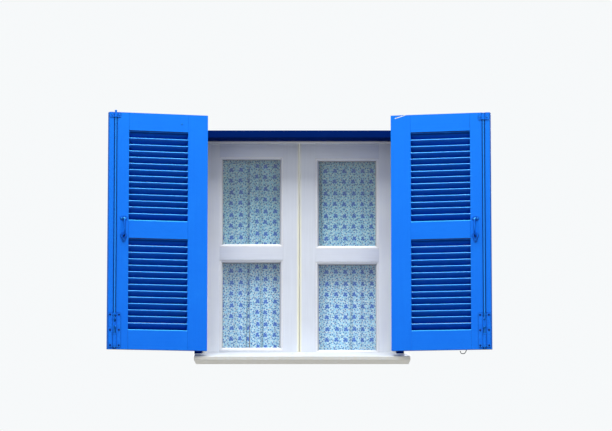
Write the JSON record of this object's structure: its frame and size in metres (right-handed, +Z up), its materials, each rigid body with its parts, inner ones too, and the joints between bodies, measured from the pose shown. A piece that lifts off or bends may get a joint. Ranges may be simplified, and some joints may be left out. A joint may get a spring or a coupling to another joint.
{
  "type": "window with louvred shutters",
  "caption": "Two-leaf louvred timber shutters in blue on a framed white casement window with divided panes, sash curtains and a sloping sill.",
  "frame": {"origin": "on the sill's underside, in line with the front face of the blue frame and midway between its jambs", "axes": "+X to the right seen from outside, +Y into the room, +Z up; the shutters are swung back and the sashes shut at rest"},
  "size_m": [1.8967, 0.4698, 1.231],
  "materials": {
    "curtain_cloth": "thin printed cotton voile",
    "frame_paint": "azure brush paint on timber",
    "glass": "clear float glass",
    "hardware_paint": "iron painted over in azure",
    "hinge_paint": "iron painted over in azure",
    "hinge_steel": "zinc-plated steel",
    "hook_black": "dark painted iron",
    "louvre_paint": "glossy azure brush paint on timber",
    "rod_white": "white enamel",
    "sash_paint": "white satin brush paint on timber",
    "shutter_paint": "glossy azure brush paint on timber",
    "sill_paint": "white paint, dulled at the nose",
    "strip_foam": "yellowed foam strip"
  },
  "bodies": {
    "frame": {"frame_head": "frame_paint", "frame_jamb_left": "frame_paint", "frame_jamb_right": "frame_paint", "pintle_screws": "hinge_paint", "sash_hinge_jamb_leaves": "hinge_steel", "shutter_pintles": "hinge_paint", "stop_beads": "sash_paint", "window_sill": "sill_paint"},
    "left_shutter": {"left_shutter_bolt_guide": "hardware_paint", "left_shutter_bolt_housing": "hardware_paint", "left_shutter_bottom_rail": "shutter_paint", "left_shutter_handle": "hardware_paint", "left_shutter_hinge_stile": "shutter_paint", "left_shutter_hinge_straps": "hardware_paint", "left_shutter_lower_louvres": "louvre_paint", "left_shutter_meeting_stile": "shutter_paint", "left_shutter_middle_rail": "shutter_paint", "left_shutter_screws": "hardware_paint", "left_shutter_top_rail": "shutter_paint", "left_shutter_upper_louvres": "louvre_paint"},
    "right_shutter": {"right_shutter_bolt_guide": "hardware_paint", "right_shutter_bolt_housing": "hardware_paint", "right_shutter_bottom_rail": "shutter_paint", "right_shutter_handle": "hardware_paint", "right_shutter_hinge_stile": "shutter_paint", "right_shutter_hinge_straps": "hardware_paint", "right_shutter_lower_louvres": "louvre_paint", "right_shutter_meeting_stile": "shutter_paint", "right_shutter_middle_rail": "shutter_paint", "right_shutter_screws": "hardware_paint", "right_shutter_top_rail": "shutter_paint", "right_shutter_upper_louvres": "louvre_paint", "right_stay_eye": "hook_black"},
    "left_top_bolt": {"left_top_bolt": "hardware_paint"},
    "left_bottom_bolt": {"left_bottom_bolt": "hardware_paint"},
    "right_top_bolt": {"right_top_bolt": "hardware_paint"},
    "right_bottom_bolt": {"right_bottom_bolt": "hardware_paint"},
    "right_stay_hook": {"right_stay_hook": "hook_black"},
    "left_sash": {"left_sash_bottom_rail": "sash_paint", "left_sash_curtain": "curtain_cloth", "left_sash_curtain_rod": "rod_white", "left_sash_glass": "glass", "left_sash_glazing_beads": "sash_paint", "left_sash_hinge_leaves": "hinge_steel", "left_sash_hinge_stile": "sash_paint", "left_sash_meeting_stile": "sash_paint", "left_sash_middle_rail": "sash_paint", "left_sash_top_rail": "sash_paint", "left_sash_weather_strip": "strip_foam"},
    "right_sash": {"right_sash_bottom_rail": "sash_paint", "right_sash_curtain": "curtain_cloth", "right_sash_curtain_rod": "rod_white", "right_sash_glass": "glass", "right_sash_glazing_beads": "sash_paint", "right_sash_hinge_leaves": "hinge_steel", "right_sash_hinge_stile": "sash_paint", "right_sash_meeting_stile": "sash_paint", "right_sash_middle_rail": "sash_paint", "right_sash_top_rail": "sash_paint"},
    "sash_turn_button": {"sash_turn_button": "hinge_steel"}
  },
  "joints": [
    {"name": "left_shutter_swing", "type": "hinge", "parent": "frame", "child": "left_shutter", "pos_m": [-0.484, -0.065, 0.211], "axis": [0, 0, 1], "range_deg": [-10, 165]},
    {"name": "right_shutter_swing", "type": "hinge", "parent": "frame", "child": "right_shutter", "pos_m": [0.484, -0.065, 0.211], "axis": [0, 0, -1], "range_deg": [-8, 167]},
    {"name": "left_sash_swing", "type": "hinge", "parent": "frame", "child": "left_sash", "pos_m": [-0.4835, 0.19, 0.2], "axis": [0, 0, 1], "range_deg": [0, 95]},
    {"name": "right_sash_swing", "type": "hinge", "parent": "frame", "child": "right_sash", "pos_m": [0.4835, 0.19, 0.194], "axis": [0, 0, -1], "range_deg": [0, 95]},
    {"name": "left_top_bolt_slide", "type": "slide", "parent": "left_shutter", "child": "left_top_bolt", "axis": [0, 0, 1], "range_m": [-0.01, 0.015]},
    {"name": "right_top_bolt_slide", "type": "slide", "parent": "right_shutter", "child": "right_top_bolt", "axis": [0, 0, 1], "range_m": [0, 0.025]},
    {"name": "left_bottom_bolt_slide", "type": "slide", "parent": "left_shutter", "child": "left_bottom_bolt", "axis": [0, 0, -1], "range_m": [0, 0.025]},
    {"name": "right_bottom_bolt_slide", "type": "slide", "parent": "right_shutter", "child": "right_bottom_bolt", "axis": [0, 0, -1], "range_m": [0, 0.025]},
    {"name": "right_stay_hook_swing", "type": "hinge", "parent": "right_shutter", "child": "right_stay_hook", "pos_m": [0.82421, -0.13841, 0.096], "axis": [0.9744, -0.225, 0], "range_deg": [-6, 80]},
    {"name": "sash_turn_button_turn", "type": "hinge", "parent": "right_sash", "child": "sash_turn_button", "pos_m": [0.022, 0.183, 0.552], "axis": [0, -1, 0], "range_deg": [0, 90]}
  ]
}
